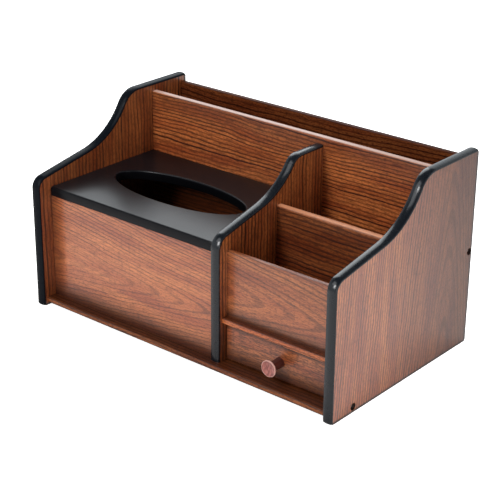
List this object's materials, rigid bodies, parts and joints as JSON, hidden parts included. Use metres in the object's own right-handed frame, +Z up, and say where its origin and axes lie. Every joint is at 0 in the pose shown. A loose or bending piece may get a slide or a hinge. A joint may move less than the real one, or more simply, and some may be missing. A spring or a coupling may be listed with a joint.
{
  "type": "desk tissue box with drawer",
  "caption": "Desk organiser in foil-wrapped board with S-curved sides: a lidded tissue bay with an oval opening, a letter slot, pockets and a small drawer with a knob.",
  "frame": {"origin": "on the table under the middle of the case: the centre of the bounding box in plan, at the height of the side panels' feet", "axes": "+X to the right seen from the front, +Y to the rear, +Z up"},
  "size_m": [0.33, 0.19, 0.1745],
  "materials": {
    "wood_foil": "satin rosewood-grain foil on fibreboard",
    "black_band": "semi-gloss black PVC edge band",
    "black_lid": "satin black foil on fibreboard",
    "knob_wood": "stained and lacquered turned wood",
    "hardboard": "plain hardboard",
    "plain_wood": "unfinished softwood strip",
    "zinc_steel": "zinc-plated steel"
  },
  "bodies": {
    "case": {"left_side_panel": "wood_foil", "right_side_panel": "wood_foil", "middle_divider": "wood_foil", "left_edge_band": "black_band", "right_edge_band": "black_band", "divider_edge_band": "black_band", "base_board": "wood_foil", "back_panel": "wood_foil", "long_divider": "wood_foil", "tissue_front_panel": "wood_foil", "lid_rest_batten": "plain_wood", "pocket_front_panel": "wood_foil", "pocket_divider": "wood_foil", "drawer_shelf": "wood_foil", "left_side_screws": "zinc_steel", "right_side_screws": "zinc_steel", "divider_screws": "zinc_steel", "back_panel_brads": "zinc_steel"},
    "lid": {"tissue_lid": "black_lid"},
    "drawer": {"drawer_front": "wood_foil", "drawer_left_side": "wood_foil", "drawer_right_side": "wood_foil", "drawer_back": "wood_foil", "drawer_bottom": "hardboard", "drawer_brads": "zinc_steel", "drawer_knob": "knob_wood", "knob_screw": "zinc_steel"}
  },
  "joints": [
    {"name": "drawer_slide", "type": "slide", "parent": "case", "child": "drawer", "axis": [0, -1, 0], "range_m": [0, 0.1]},
    {"name": "lid_lift", "type": "slide", "parent": "case", "child": "lid", "axis": [0, 0, 1], "range_m": [0, 0.15]}
  ]
}
